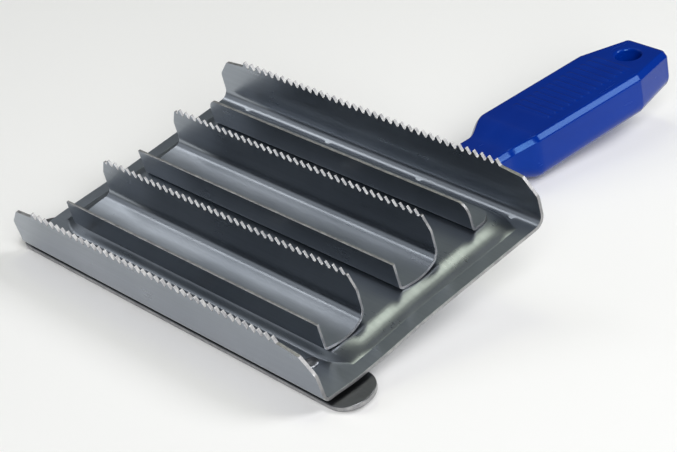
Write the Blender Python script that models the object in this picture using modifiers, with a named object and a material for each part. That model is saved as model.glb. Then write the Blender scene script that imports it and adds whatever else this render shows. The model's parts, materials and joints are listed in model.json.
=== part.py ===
"""Metal curry comb, lying on its back with the teeth up.

A folded steel base plate carries two toothed channels and one plain angle.
A knocker bar is riveted under its front edge, and a cranked steel tang
riveted under the plate runs back into a moulded plastic handle.

The head is drawn square to its own base plate: +X along the rows of teeth,
+Y towards the handle, +Z the way the teeth point, z = 0 on the raised panel
and y = 0 on the front flange's outer face. At the end the whole comb is
tipped about X until it rests on the knocker bar and the heel of the handle.
"""

import math

import bmesh
import bpy
from mathutils import Matrix, Vector

# ---------------------------------------------------------------- dimensions
GAP = 0.0003                 # left between pieces that touch

# Base plate
PLATE_HALF = 0.070
PLATE_BOW = 0.0009           # the side edges swell this far just behind the front flange
PLATE_BOW_SPAN = (0.012, 0.016, 0.042)   # full from, full to, gone by
PLATE_BOW_ROWS = (0.0045, 0.0075, 0.022, 0.032, 0.042)   # sections that draw the swelling
PLATE_DEPTH = 0.0857         # outer face to outer face of the two flanges
PLATE_SHEET = 0.0010
PANEL_RISE = 0.0022          # how far the raised panel stands above the margin
PANEL_SIDE_RAMP = (0.0595, 0.0650)
PANEL_FRONT_RAMP = (0.0109, 0.0144)
PANEL_REAR_RAMP = (0.0790, 0.0818)
FOLD_RADIUS = 0.0015         # middle of the sheet
FLANGE_LEAN = math.radians(2.5)
FLANGE_SHOULDER = 0.0062     # where the cropped corner starts
FLANGE_CREST = (0.0654, 0.0114)
FLANGE_TOOTH_BASE = 0.0123
FLANGE_TEETH = 38
FLANGE_TOOTHED_HALF = 0.0571

# The cropped ends of every toothed wall
WALL_FOOT = 0.003            # below this the sheet keeps its own end
SHOULDER_ROUND = 0.0025
CREST_ROUND = 0.0006
TOOTH_HEIGHT = 0.0019

# Channels and rear angle
CHANNEL_HALF = 0.0577
CHANNEL_BOW = 0.0014         # the floor stands out this far past the walls
CHANNEL_BOW_FULLNESS = 0.8   # below 1 the bow is fuller than a sine
CHANNEL_SHEET = 0.0008
CHANNEL_DEPTH = 0.0156
CHANNEL_FRONT = 0.0124       # front face of the first channel
CHANNEL_PITCH = 0.02865
PLAIN_WALL_TOP = 0.0090
CHANNEL_SHOULDER = 0.0100
CHANNEL_CREST = (0.0551, 0.0152)
CHANNEL_TOOTH_BASE = 0.0139
CHANNEL_TEETH = 36
CHANNEL_TOOTHED_HALF = 0.0542
CHANNEL_LEAN = math.radians(1.5)
CHANNEL_FRONT_BEND = 0.0009
CHANNEL_REAR_BEND = 0.0030
ANGLE_FRONT = 0.0700
ANGLE_FOOT = 0.0084
ANGLE_FOOT_ROUND = 0.0048
ANGLE_TOP = 0.0095
ANGLE_CORNER = (0.0034, 0.0044)

# Knocker bar and tang
BAR_HALF = 0.0697            # to the centre of each round end
BAR_RADIUS = 0.0075
BAR_Y = 0.0084
BAR_THICKNESS = 0.0017
BAR_EDGE = 0.0003
BAR_STANDOFF = 0.0011        # clear space between the plate's margin and the bar
TANG_THICKNESS = 0.0020
TANG_HALF = 0.009
TANG_TAIL_HALF = 0.0062
TANG_START = 0.0190
TANG_JOGGLE = (0.0705, 0.0755)   # where it steps from the panel's recess down to the margin
TANG_CRANK = 0.0015          # behind the rear flange
TANG_BENDS = [0.003, 0.003, 0.005, 0.005]
TANG_INTO_NECK = 0.004       # it has straightened out this far ahead of the neck's end

# Rivets
KNOCKER_RIVET_X = {"knocker_rivet_left": -0.0552, "knocker_rivet_middle": 0.0,
                   "knocker_rivet_right": 0.0552}
KNOCKER_RIVET = {"head": 0.0023, "dome": 0.0009, "shank": 0.0014}
TANG_RIVET = {"head": 0.0034, "dome": 0.0013, "shank": 0.0019}
TANG_RIVET_Y = {"tang_rivet_front": 0.0347, "tang_rivet_rear": 0.0634}
STANDOFF_RADIUS = 0.0029

# Handle, in its own frame: u along its flat thumb face, w out of that face
HANDLE_START = Vector((0.0, 0.0847, -0.0187))
HANDLE_PITCH = math.radians(7.5)
GRIP_HALF = (0.0137, 0.0140)   # behind the neck and at the taper
NECK_START = 0.022
NECK_HALF = 0.0098
NECK_TOP = -0.0024
NECK_BOTTOM = -0.0132
GRIP_START = (0.0425, 0.0535)  # where the neck begins to swell, and ends
GRIP_DEPTH = (0.0158, 0.0149)
TAPER_START = 0.0990
HANDLE_END = 0.1180
HANDLE_END_HALF = 0.0096
HANDLE_END_DROP = 0.0008     # the thumb face falls this much from the taper to the end
END_ROUND = 0.0022
TOP_ROUND = 0.0020
NECK_TOP_ROUND = 0.0030
BOTTOM_ROUND = 0.0050
ROUND_SHARE = 0.45           # of the handle's thickness, the most a lower rounding may take
HANG_HOLE_U = 0.1086
HANG_HOLE_RADIUS = 0.0042
HANG_HOLE_FLARE = 0.0010
RIB_COUNT = 13
RIB_FIRST_U = 0.0635
RIB_PITCH = 0.0031
RIB_HALF_LENGTH = 0.0080
RIB_HALF_WIDTH = 0.0006
RIB_HEIGHT = 0.0004
TANG_END_U = 0.088

# Heights that follow from those
MARGIN_TOP = -PANEL_RISE
MARGIN_UNDER = MARGIN_TOP - PLATE_SHEET
PANEL_UNDER = -PLATE_SHEET
BAR_TOP = MARGIN_UNDER - BAR_STANDOFF
BAR_UNDER = BAR_TOP - BAR_THICKNESS
TANG_PANEL_TOP = PANEL_UNDER - GAP   # where it lies in the recess of the panel
TANG_MARGIN_TOP = MARGIN_UNDER - GAP

CUT_DEPTH = 0.03             # more than any hole is deep
CUT_BELOW = -0.01            # under every sheet
ARC_STEPS = 5
MERGE = 0.00001


# ------------------------------------------------------------------- helpers
def clear_scene():
    for old in list(bpy.data.objects):
        bpy.data.objects.remove(old, do_unlink=True)


def new_collection(name):
    collection = bpy.data.collections.new(name)
    bpy.context.scene.collection.children.link(collection)
    return collection


def make_material(name, colour, metallic, roughness):
    material = bpy.data.materials.new(name)
    material.use_nodes = True
    shader = material.node_tree.nodes["Principled BSDF"]
    shader.inputs["Base Color"].default_value = (*colour, 1.0)
    shader.inputs["Metallic"].default_value = metallic
    shader.inputs["Roughness"].default_value = roughness
    material.diffuse_color = (*colour, 1.0)
    return material


def add_part(name, mesh, material):
    part = bpy.data.objects.new(name, mesh)
    PARTS.objects.link(part)
    mesh.materials.append(material)
    return part


def add_cutter(name, mesh):
    cutter = bpy.data.objects.new(name, mesh)
    CUTTERS.objects.link(cutter)
    cutter.hide_render = True
    cutter.display_type = "WIRE"
    return cutter


def combine(part, other, operation):
    step = part.modifiers.new(other.name, "BOOLEAN")
    step.operation = operation
    step.object = other
    step.solver = "EXACT"


def smooth(part, angle=math.radians(35)):
    part.data.shade_smooth()
    part.data.set_sharp_from_angle(angle=angle)


def ease(value, start, end):
    """Smooth step: 0 at start, 1 at end, level at both."""
    t = min(max((value - start) / (end - start), 0.0), 1.0)
    return t * t * (3.0 - 2.0 * t)


def arc(centre, radii, from_degrees, to_degrees, steps=ARC_STEPS):
    """Points along part of an ellipse, both ends included."""
    points = []
    for step in range(steps + 1):
        angle = math.radians(from_degrees + (to_degrees - from_degrees) * step / steps)
        points.append((centre[0] + radii[0] * math.cos(angle),
                       centre[1] + radii[1] * math.sin(angle)))
    return points


def rounded_path(corners, radii):
    """A polyline with its inner corners rounded, for the section of a folded sheet."""
    points = [corners[0]]
    for index, radius in enumerate(radii, start=1):
        here = Vector(corners[index])
        back = (Vector(corners[index - 1]) - here).normalized()
        ahead = (Vector(corners[index + 1]) - here).normalized()
        half = back.angle(ahead) / 2.0
        run = radius / math.tan(half)
        centre = here + (back + ahead).normalized() * radius / math.sin(half)
        first = here + back * run - centre
        last = here + ahead * run - centre
        sweep = first.angle(last)
        side = 1.0 if first.x * last.y - first.y * last.x > 0.0 else -1.0
        for step in range(ARC_STEPS + 1):
            turned = first.copy()
            turned.rotate(Matrix.Rotation(side * sweep * step / ARC_STEPS, 2))
            points.append(tuple(centre + turned))
    points.append(corners[-1])
    return points


def swept_sheet(section, stations, reach=None):
    """Open surface: a (y, z) section pulled through x stations, for Solidify to thicken.

    reach, if given, tells how much longer or shorter than the last station
    the sheet is at a point of its section; its ends then follow that outline.
    """
    frame = bmesh.new()
    row = [frame.verts.new((stations[0], y, z)) for y, z in section]
    edges = [frame.edges.new(pair) for pair in zip(row, row[1:])]
    for here, ahead in zip(stations, stations[1:]):
        pulled = bmesh.ops.extrude_edge_only(frame, edges=edges)["geom"]
        moved = [item for item in pulled if isinstance(item, bmesh.types.BMVert)]
        edges = [item for item in pulled if isinstance(item, bmesh.types.BMEdge)
                 and all(vert in moved for vert in item.verts)]
        bmesh.ops.translate(frame, verts=moved, vec=(ahead - here, 0.0, 0.0))
    if reach:
        for vertex in frame.verts:
            if abs(abs(vertex.co.x) - stations[-1]) < MERGE:
                side = math.copysign(1.0, vertex.co.x)
                vertex.co.x += side * reach(vertex.co.y, vertex.co.z)
    bmesh.ops.recalc_face_normals(frame, faces=frame.faces)
    mesh = bpy.data.meshes.new("sheet")
    frame.to_mesh(mesh)
    frame.free()
    return mesh


def thicken(part, thickness):
    shell = part.modifiers.new("sheet", "SOLIDIFY")
    shell.thickness = thickness
    shell.offset = 0.0
    shell.use_even_offset = True


def outline_mesh(points, half_thickness, matrix):
    """A flat outline given thickness, as a mesh placed by the matrix."""
    curve = bpy.data.curves.new("outline", "CURVE")
    curve.dimensions = "2D"
    curve.fill_mode = "BOTH"
    curve.extrude = half_thickness
    spline = curve.splines.new("POLY")
    spline.points.add(len(points) - 1)
    for slot, point in zip(spline.points, points):
        slot.co = (point[0], point[1], 0.0, 1.0)
    spline.use_cyclic_u = True
    guide = bpy.data.objects.new("outline", curve)
    bpy.context.scene.collection.objects.link(guide)
    bpy.context.view_layer.update()
    evaluated = guide.evaluated_get(bpy.context.evaluated_depsgraph_get())
    mesh = bpy.data.meshes.new_from_object(evaluated)
    bpy.data.objects.remove(guide, do_unlink=True)
    weld = bmesh.new()
    weld.from_mesh(mesh)
    bmesh.ops.remove_doubles(weld, verts=weld.verts, dist=MERGE)
    bmesh.ops.recalc_face_normals(weld, faces=weld.faces)
    bmesh.ops.transform(weld, matrix=matrix, verts=weld.verts)
    weld.to_mesh(mesh)
    weld.free()
    mesh.materials.clear()
    return mesh


def turned_mesh(profile):
    """Profile of (radius, z) points, top to bottom, for a Screw modifier to turn."""
    mesh = bpy.data.meshes.new("turned")
    mesh.from_pydata([(radius, 0.0, z) for radius, z in profile],
                     [(i, i + 1) for i in range(len(profile) - 1)], [])
    return mesh


def turn(part, steps=16):
    screw = part.modifiers.new("turn", "SCREW")
    screw.steps = steps
    screw.render_steps = steps
    screw.use_merge_vertices = True
    screw.merge_threshold = MERGE
    screw.use_smooth_shade = True


def bore(part, x, y, radius):
    """Cut a round hole along Z right through a part."""
    mesh = bpy.data.meshes.new("bore")
    drill = bmesh.new()
    bmesh.ops.create_cone(drill, cap_ends=True, segments=20, radius1=radius,
                          radius2=radius, depth=CUT_DEPTH)
    drill.to_mesh(mesh)
    drill.free()
    cutter = add_cutter(f"{part.name}_bore_{len(part.modifiers)}", mesh)
    cutter.location = (x, y, 0.0)
    combine(part, cutter, "DIFFERENCE")


# ------------------------------------------------------------- toothed sheets
def wall_outline(half, shoulder, crest, tooth_base, toothed_half, teeth):
    """Silhouette of a wall along X: wide foot, cropped top corners, row of teeth."""
    wide = half + PLATE_BOW + CHANNEL_BOW
    right = rounded_path([(half, WALL_FOOT), (half, shoulder), crest, (toothed_half, tooth_base)],
                         [SHOULDER_ROUND, CREST_ROUND])[:-1]
    pitch = 2.0 * toothed_half / teeth
    row = []
    for tooth in range(teeth):
        start = toothed_half - tooth * pitch
        row.append((start, tooth_base))
        row.append((start - pitch / 2.0, tooth_base + TOOTH_HEIGHT))
    row.append((-toothed_half, tooth_base))
    left = [(-x, z) for x, z in reversed(right)]
    foot = [(wide, CUT_BELOW), (wide, WALL_FOOT)]
    return foot + right + row + left + [(-x, z) for x, z in reversed(foot)]


def trim_to_outline(part, outline):
    """Keep only what lies inside the silhouette, seen along Y."""
    upright = (Matrix.Translation((0.0, PLATE_DEPTH / 2.0, 0.0))
               @ Matrix.Rotation(math.pi / 2.0, 4, "X"))
    cutter = add_cutter(f"{part.name}_outline", outline_mesh(outline, PLATE_DEPTH, upright))
    combine(part, cutter, "INTERSECT")


def panel_height(x, y):
    """Height of the pressed panel above the margin of the base plate."""
    side = 1.0 - ease(abs(x), *PANEL_SIDE_RAMP)
    front = ease(y, *PANEL_FRONT_RAMP)
    rear = 1.0 - ease(y, *PANEL_REAR_RAMP)
    return PANEL_RISE * side * front * rear


def plate_reach(y, z):
    """The plate's side edges swell a little near the front; its flanges do not."""
    grown, fading, gone = PLATE_BOW_SPAN
    if z > 0.0:
        return 0.0
    return PLATE_BOW * ease(y, 0.0, grown) * (1.0 - ease(y, fading, gone))


def build_base_plate():
    middle = MARGIN_TOP - PLATE_SHEET / 2.0
    front = PLATE_SHEET / 2.0
    rear = PLATE_DEPTH - PLATE_SHEET / 2.0
    top = FLANGE_TOOTH_BASE + 2.0 * TOOTH_HEIGHT
    lean = math.tan(FLANGE_LEAN) * (top - middle)
    folded = rounded_path([(front - lean, top), (front, middle), (rear, middle), (rear + lean, top)],
                          [FOLD_RADIUS, FOLD_RADIUS])
    rows = list(PLATE_BOW_ROWS)
    for start, end in (PANEL_FRONT_RAMP, PANEL_REAR_RAMP):
        rows += [start + (end - start) * step / 4.0 for step in range(5)]
    half_way = len(folded) // 2
    section = folded[:half_way] + [(y, middle) for y in sorted(rows)] + folded[half_way:]
    start, end = PANEL_SIDE_RAMP
    side = [start + (end - start) * step / 5.0 for step in range(6)] + [PLATE_HALF]
    stations = [-x for x in reversed(side)] + [0.0] + side
    mesh = swept_sheet(section, stations, plate_reach)
    for vertex in mesh.vertices:
        if abs(vertex.co.z - middle) < MERGE:
            vertex.co.z += panel_height(vertex.co.x, vertex.co.y)
    part = add_part("base_plate", mesh, STEEL)
    thicken(part, PLATE_SHEET)
    trim_to_outline(part, wall_outline(PLATE_HALF + GAP, FLANGE_SHOULDER, FLANGE_CREST,
                                       FLANGE_TOOTH_BASE, FLANGE_TOOTHED_HALF, FLANGE_TEETH))
    for x in KNOCKER_RIVET_X.values():
        bore(part, x, BAR_Y, KNOCKER_RIVET["shank"] + GAP)
    for y in TANG_RIVET_Y.values():
        bore(part, 0.0, y, TANG_RIVET["shank"] + GAP)
    smooth(part)


def build_channel(name, front):
    low = GAP + CHANNEL_SHEET / 2.0
    near = front + CHANNEL_SHEET / 2.0
    far = front + CHANNEL_DEPTH - CHANNEL_SHEET / 2.0
    top = CHANNEL_TOOTH_BASE + 2.0 * TOOTH_HEIGHT
    lean = math.tan(CHANNEL_LEAN) * (top - low)
    section = rounded_path([(near, PLAIN_WALL_TOP), (near, low), (far, low), (far + lean, top)],
                           [CHANNEL_FRONT_BEND, CHANNEL_REAR_BEND])
    floor_start = near + CHANNEL_FRONT_BEND
    floor_end = far - CHANNEL_REAR_BEND
    half_way = len(section) // 2
    floor = [(floor_start + (floor_end - floor_start) * step / 5.0, low) for step in range(1, 5)]
    section = section[:half_way] + floor + section[half_way:]

    def bow(y, z):
        across = min(max((y - near) / (far - near), 0.0), 1.0)
        rise = 1.0 - ease(z, low, low + CHANNEL_REAR_BEND)
        return CHANNEL_BOW * math.sin(math.pi * across) ** CHANNEL_BOW_FULLNESS * rise

    part = add_part(name, swept_sheet(section, [-CHANNEL_HALF, CHANNEL_HALF], bow), STEEL)
    thicken(part, CHANNEL_SHEET)
    trim_to_outline(part, wall_outline(CHANNEL_HALF + GAP, CHANNEL_SHOULDER, CHANNEL_CREST,
                                       CHANNEL_TOOTH_BASE, CHANNEL_TOOTHED_HALF, CHANNEL_TEETH))
    smooth(part)


def build_rear_angle():
    low = GAP + CHANNEL_SHEET / 2.0
    near = ANGLE_FRONT + CHANNEL_SHEET / 2.0
    edge = ANGLE_FRONT + ANGLE_FOOT
    turn_in = edge - ANGLE_FOOT_ROUND
    section = rounded_path([(near, ANGLE_TOP + ANGLE_CORNER[1]), (near, low), (turn_in, low)],
                           [CHANNEL_FRONT_BEND])
    rounding = arc((turn_in, 0.0), (ANGLE_FOOT_ROUND, 0.0), 75.0, 0.0)
    section += [(y, low) for y, _ in rounding]

    def rounded_foot(y, _):
        past = min(max(y - turn_in, 0.0), ANGLE_FOOT_ROUND)
        return math.sqrt(ANGLE_FOOT_ROUND ** 2 - past ** 2) - ANGLE_FOOT_ROUND

    part = add_part("rear_angle", swept_sheet(section, [-CHANNEL_HALF, CHANNEL_HALF], rounded_foot), STEEL)
    thicken(part, CHANNEL_SHEET)
    right = [(CHANNEL_HALF + GAP, CUT_BELOW)]
    right += arc((CHANNEL_HALF - ANGLE_CORNER[0], ANGLE_TOP - ANGLE_CORNER[1]), ANGLE_CORNER, 0.0, 90.0)
    trim_to_outline(part, right + [(-x, z) for x, z in reversed(right)])
    smooth(part)


# --------------------------------------------------------- knocker bar, tang
def build_knocker_bar():
    right = arc((BAR_HALF, BAR_Y), (BAR_RADIUS, BAR_RADIUS), -90.0, 90.0, steps=16)
    left = arc((-BAR_HALF, BAR_Y), (BAR_RADIUS, BAR_RADIUS), 90.0, 270.0, steps=16)
    middle = Matrix.Translation((0.0, 0.0, BAR_TOP - BAR_THICKNESS / 2.0))
    part = add_part("knocker_bar", outline_mesh(right + left, BAR_THICKNESS / 2.0, middle), STEEL)
    edge = part.modifiers.new("edge", "BEVEL")
    edge.width = BAR_EDGE
    edge.segments = 1
    edge.limit_method = "ANGLE"
    for x in KNOCKER_RIVET_X.values():
        bore(part, x, BAR_Y, KNOCKER_RIVET["shank"] + GAP)
    smooth(part)


def handle_point(u, w):
    """A point of the handle's own frame, as (y, z) of the head."""
    return (HANDLE_START.y + u * math.cos(HANDLE_PITCH) + w * math.sin(HANDLE_PITCH),
            HANDLE_START.z - u * math.sin(HANDLE_PITCH) + w * math.cos(HANDLE_PITCH))


def tang_depth():
    return (NECK_TOP + NECK_BOTTOM) / 2.0


def build_tang():
    half = TANG_THICKNESS / 2.0
    joggle_start, joggle_end = TANG_JOGGLE
    straight = NECK_START - TANG_INTO_NECK
    corners = [
        (TANG_START, TANG_PANEL_TOP - half),
        (joggle_start, TANG_PANEL_TOP - half),
        (joggle_end, TANG_MARGIN_TOP - half),
        (PLATE_DEPTH + TANG_CRANK, TANG_MARGIN_TOP - half),
        handle_point(straight, tang_depth()),
        handle_point(TANG_END_U, tang_depth()),
    ]
    section = rounded_path(corners, TANG_BENDS)
    part = add_part("tang", swept_sheet(section, [-TANG_HALF, TANG_HALF]), STEEL)
    thicken(part, TANG_THICKNESS)
    nose = arc((0.0, TANG_START + TANG_HALF), (TANG_HALF, TANG_HALF), 180.0, 360.0, steps=14)
    shoulder = handle_point(straight, tang_depth())[0]
    end = handle_point(HANDLE_END, tang_depth())[0]
    side = [(TANG_HALF, PLATE_DEPTH), (TANG_TAIL_HALF, shoulder), (TANG_TAIL_HALF, end)]
    plan = nose + side + [(-x, y) for x, y in reversed(side)]
    cutter = add_cutter("tang_plan", outline_mesh(plan, HANDLE_END, Matrix.Identity(4)))
    combine(part, cutter, "INTERSECT")
    for y in TANG_RIVET_Y.values():
        bore(part, 0.0, y, TANG_RIVET["shank"] + GAP)
    smooth(part)


# ------------------------------------------------------------------- rivets
def rivet_profile(size, top, bottom, standoff=None):
    """Domed head above top, domed tail below bottom, and a standoff between, if any."""
    dome = arc((0.0, 0.0), (size["dome"], size["head"]), 0.0, 90.0, steps=4)
    head = [(radius, top + height) for height, radius in dome]
    tail = [(radius, bottom - height) for height, radius in reversed(dome)]
    collar = []
    if standoff:
        high, low = standoff
        collar = [(size["shank"], high), (STANDOFF_RADIUS, high),
                  (STANDOFF_RADIUS, low), (size["shank"], low)]
    profile = head + [(size["shank"], top)] + collar + [(size["shank"], bottom)] + tail
    profile[0] = (0.0, profile[0][1])
    profile[-1] = (0.0, profile[-1][1])
    return profile


def build_rivet(name, size, x, y, top, bottom, standoff=None):
    part = add_part(name, turned_mesh(rivet_profile(size, top, bottom, standoff)), RIVET_STEEL)
    part.location = (x, y, 0.0)
    turn(part)


def build_rivets():
    standoff = (MARGIN_UNDER - GAP, BAR_TOP + GAP)
    for name, x in KNOCKER_RIVET_X.items():
        build_rivet(name, KNOCKER_RIVET, x, BAR_Y, MARGIN_TOP + GAP, BAR_UNDER - GAP, standoff)
    under_tang = TANG_PANEL_TOP - TANG_THICKNESS - GAP
    for name, y in TANG_RIVET_Y.items():
        build_rivet(name, TANG_RIVET, 0.0, y, GAP, under_tang)


# ------------------------------------------------------------------- handle
def handle_section(u):
    """Half width, top, bottom and the two corner radii of the handle at u."""
    swell = ease(u, *GRIP_START)
    along = max((u - GRIP_START[1]) / (TAPER_START - GRIP_START[1]), 0.0)
    grip_half = GRIP_HALF[0] + (GRIP_HALF[1] - GRIP_HALF[0]) * min(along, 1.0)
    grip_bottom = -(GRIP_DEPTH[0] + (GRIP_DEPTH[1] - GRIP_DEPTH[0]) * along)
    half = NECK_HALF + (grip_half - NECK_HALF) * swell
    top = NECK_TOP * (1.0 - swell)
    bottom = NECK_BOTTOM + (grip_bottom - NECK_BOTTOM) * swell
    if u > TAPER_START:
        share = min((u - TAPER_START) / (HANDLE_END - END_ROUND - TAPER_START), 1.0)
        half += (HANDLE_END_HALF - GRIP_HALF[1]) * share
        top -= HANDLE_END_DROP * share
    pull = 0.0
    if u > HANDLE_END - END_ROUND:
        pull = END_ROUND - math.sqrt(max(END_ROUND ** 2 - (u - HANDLE_END + END_ROUND) ** 2, 0.0))
    round_top = NECK_TOP_ROUND + (TOP_ROUND - NECK_TOP_ROUND) * swell
    round_bottom = min(BOTTOM_ROUND, (top - bottom) * ROUND_SHARE)
    return half - pull, top - pull * 0.5, bottom + pull * 0.5, round_top, round_bottom


def section_points(u):
    half, top, bottom, round_top, round_bottom = handle_section(u)
    upper = (half - round_top, top - round_top)
    lower = (half - round_bottom, bottom + round_bottom)
    ring = arc(upper, (round_top, round_top), 90.0, 0.0, steps=3)
    ring += arc(lower, (round_bottom, round_bottom), 0.0, -90.0, steps=4)
    return ring + [(-x, w) for x, w in reversed(ring)]


def build_handle():
    """Loft through rounded sections, then cut the tang's slot and the hanging hole."""
    swell = [GRIP_START[0] + (GRIP_START[1] - GRIP_START[0]) * step / 7.0 for step in range(8)]
    nose = [HANDLE_END - END_ROUND * (1.0 - math.sin(math.radians(angle))) for angle in (0, 30, 60, 90)]
    stations = [NECK_START, *swell, TAPER_START, *nose]
    loft = bmesh.new()
    rings = []
    for u in stations:
        rings.append([loft.verts.new((x, u, w)) for x, w in section_points(u)])
    for ring, ahead in zip(rings, rings[1:]):
        for i in range(len(ring)):
            after = (i + 1) % len(ring)
            loft.faces.new((ring[i], ring[after], ahead[after], ahead[i]))
    loft.faces.new(reversed(rings[0]))
    loft.faces.new(rings[-1])
    bmesh.ops.recalc_face_normals(loft, faces=loft.faces)
    mesh = bpy.data.meshes.new("handle")
    loft.to_mesh(mesh)
    loft.free()
    part = add_part("handle", mesh, BLUE_PLASTIC)
    part.location = HANDLE_START
    part.rotation_euler = (-HANDLE_PITCH, 0.0, 0.0)
    cut_tang_slot(part)
    cut_hanging_hole(part)
    add_thumb_ribs(part)
    smooth(part)
    return part


def place_on_handle(cutter, u=0.0):
    """Set a cutter at u along the handle, in the handle's own frame."""
    cutter.rotation_euler = (-HANDLE_PITCH, 0.0, 0.0)
    y, z = handle_point(u, 0.0)
    cutter.location = (0.0, y, z)


def box_mesh(low, high):
    mesh = bpy.data.meshes.new("box")
    box = bmesh.new()
    bmesh.ops.create_cube(box, size=1.0)
    size = Vector(high) - Vector(low)
    middle = (Vector(high) + Vector(low)) / 2.0
    bmesh.ops.scale(box, verts=box.verts, vec=size)
    bmesh.ops.translate(box, verts=box.verts, vec=middle)
    box.to_mesh(mesh)
    box.free()
    return mesh


def cut_tang_slot(part):
    side = TANG_TAIL_HALF + GAP
    half = TANG_THICKNESS / 2.0 + GAP
    low = (-side, NECK_START - CUT_DEPTH, tang_depth() - half)
    high = (side, TANG_END_U + GAP, tang_depth() + half)
    cutter = add_cutter("tang_slot", box_mesh(low, high))
    place_on_handle(cutter)
    combine(part, cutter, "DIFFERENCE")


def cut_hanging_hole(part):
    """A round hole along w with a flared mouth on each face."""
    _, top, bottom, _, _ = handle_section(HANG_HOLE_U)
    flare = HANG_HOLE_FLARE
    wide = HANG_HOLE_RADIUS + flare
    upper = [(0.0, top + flare), (wide + flare, top + flare), (wide, top),
             (HANG_HOLE_RADIUS, top - flare)]
    lower = [(HANG_HOLE_RADIUS, bottom + flare), (wide, bottom), (wide + flare, bottom - flare),
             (0.0, bottom - flare)]
    cutter = add_cutter("hanging_hole", turned_mesh(upper + lower))
    turn(cutter, steps=24)
    place_on_handle(cutter, HANG_HOLE_U)
    combine(part, cutter, "DIFFERENCE")


def add_thumb_ribs(part):
    """Low bars across the thumb face."""
    ribs = bmesh.new()
    size = (2.0 * RIB_HALF_LENGTH, 2.0 * RIB_HALF_WIDTH, 2.0 * RIB_HEIGHT)
    for rib in range(RIB_COUNT):
        u = RIB_FIRST_U + rib * RIB_PITCH
        made = bmesh.ops.create_cube(ribs, size=1.0)["verts"]
        bmesh.ops.scale(ribs, verts=made, vec=size)
        bmesh.ops.translate(ribs, verts=made, vec=(0.0, u, 0.0))
    mesh = bpy.data.meshes.new("ribs")
    ribs.to_mesh(mesh)
    ribs.free()
    cutter = add_cutter("thumb_ribs", mesh)
    place_on_handle(cutter)
    combine(part, cutter, "UNION")


# ------------------------------------------------------------------ resting
def world_points(part):
    bpy.context.view_layer.update()
    evaluated = part.evaluated_get(bpy.context.evaluated_depsgraph_get())
    mesh = evaluated.to_mesh()
    points = [evaluated.matrix_world @ vertex.co for vertex in mesh.vertices]
    evaluated.to_mesh_clear()
    return points


def lowest(points, tilt):
    turned = Matrix.Rotation(tilt, 3, "X")
    return min((turned @ point).z for point in points)


def resting_tilt(front_points, rear_points):
    """The turn about X that puts both sets of points on one level."""
    low, high = 0.0, math.radians(45.0)
    for _ in range(50):
        middle = (low + high) / 2.0
        if lowest(rear_points, middle) < lowest(front_points, middle):
            low = middle
        else:
            high = middle
    return (low + high) / 2.0


def seat_on_ground():
    """Tip the comb onto its bar and handle, with its base centre at the origin."""
    tilt = resting_tilt(world_points(PARTS.objects["knocker_bar"]),
                        world_points(PARTS.objects["handle"]))
    turned = Matrix.Rotation(tilt, 4, "X")
    points = [turned @ point for part in PARTS.objects for point in world_points(part)]
    low = Vector([min(point[axis] for point in points) for axis in range(3)])
    high = Vector([max(point[axis] for point in points) for axis in range(3)])
    shift = Vector((-(low.x + high.x) / 2.0, -(low.y + high.y) / 2.0, -low.z))
    frame = bpy.data.objects.new("comb_frame", None)
    bpy.context.scene.collection.objects.link(frame)
    for piece in [*PARTS.objects, *CUTTERS.objects]:
        piece.parent = frame
    frame.rotation_euler = (tilt, 0.0, 0.0)
    frame.location = shift
    bpy.context.view_layer.update()
    return frame


clear_scene()
PARTS = new_collection("curry_comb")
CUTTERS = new_collection("cutters")
STEEL = make_material("zinc_plated_steel", (0.36, 0.37, 0.39), 1.0, 0.35)
RIVET_STEEL = make_material("rivet_steel", (0.30, 0.31, 0.33), 1.0, 0.4)
BLUE_PLASTIC = make_material("blue_plastic", (0.003, 0.035, 0.29), 0.0, 0.35)

build_base_plate()
build_channel("front_channel", CHANNEL_FRONT)
build_channel("middle_channel", CHANNEL_FRONT + CHANNEL_PITCH)
build_rear_angle()
build_knocker_bar()
build_tang()
build_rivets()
build_handle()
seat_on_ground()
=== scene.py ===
"""Looks of a metal curry comb that lies on its back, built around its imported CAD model.

All pieces are modelled in the head's own frame, as in the CAD: +X along the rows of teeth, +Y towards the
handle, +Z the way the teeth point, z = 0 on the raised panel, y = 0 on the front flange's outer face.
HEAD is the matrix that lays that frame down where the CAD has it.
"""
import json
import math

import bmesh
import bpy
from mathutils import Matrix, Vector, noise


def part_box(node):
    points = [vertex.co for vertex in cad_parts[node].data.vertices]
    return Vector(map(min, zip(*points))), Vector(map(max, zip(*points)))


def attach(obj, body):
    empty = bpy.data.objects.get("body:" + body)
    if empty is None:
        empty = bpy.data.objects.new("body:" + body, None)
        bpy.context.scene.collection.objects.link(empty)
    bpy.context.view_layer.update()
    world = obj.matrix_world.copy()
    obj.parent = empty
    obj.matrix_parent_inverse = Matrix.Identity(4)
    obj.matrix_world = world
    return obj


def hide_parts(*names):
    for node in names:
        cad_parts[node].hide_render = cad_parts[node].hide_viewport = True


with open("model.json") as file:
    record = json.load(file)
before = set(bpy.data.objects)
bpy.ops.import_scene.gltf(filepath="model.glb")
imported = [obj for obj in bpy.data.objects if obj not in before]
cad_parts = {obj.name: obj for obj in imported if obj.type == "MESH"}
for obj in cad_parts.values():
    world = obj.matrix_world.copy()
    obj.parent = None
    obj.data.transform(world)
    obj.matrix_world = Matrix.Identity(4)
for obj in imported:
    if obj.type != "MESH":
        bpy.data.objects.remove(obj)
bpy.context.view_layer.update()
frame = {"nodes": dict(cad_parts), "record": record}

# ---------------------------------------------------------------- dimensions
# Base plate
PLATE_HALF = 0.070
PLATE_BOW = 0.0009
PLATE_BOW_SPAN = (0.012, 0.016, 0.042)   # y where the side's swelling is full, starts to fade, is gone
PLATE_DEPTH = 0.0857
PLATE_SHEET = 0.0010
PANEL_RISE = 0.0022
PANEL_SIDE_RAMP = (0.0578, 0.0650)
PANEL_FRONT_RAMP = (0.0109, 0.0144)
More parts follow.
